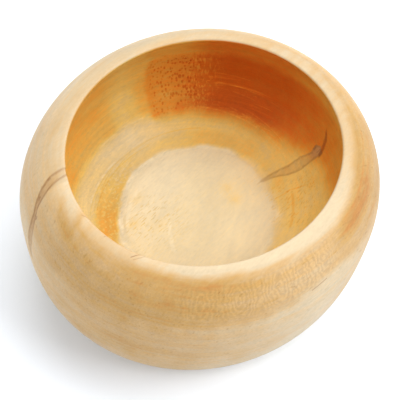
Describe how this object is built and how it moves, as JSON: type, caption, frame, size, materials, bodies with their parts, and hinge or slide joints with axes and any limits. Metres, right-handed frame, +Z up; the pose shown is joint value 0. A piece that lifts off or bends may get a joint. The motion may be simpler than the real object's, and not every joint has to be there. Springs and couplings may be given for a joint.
{
  "type": "shaving bowl",
  "caption": "Turned wooden bowl with a thick rolled-in rim, an undercut hollow and a flat foot, for working up shaving lather with a brush.",
  "frame": {"origin": "centre of the foot, on the surface that the bowl stands on", "axes": "+Z up out of the mouth; +X along the long diameter of the slightly oval plan, which is also the direction of the wood grain; +Y along the short diameter"},
  "size_m": [0.1244, 0.1156, 0.054],
  "materials": {
    "wood": "pale maple-like hardwood, turned, sanded and oiled to a satin sheen, darker orange-brown where end grain took the oil"
  },
  "bodies": {
    "root": {"bowl_body": "wood"}
  },
  "joints": []
}
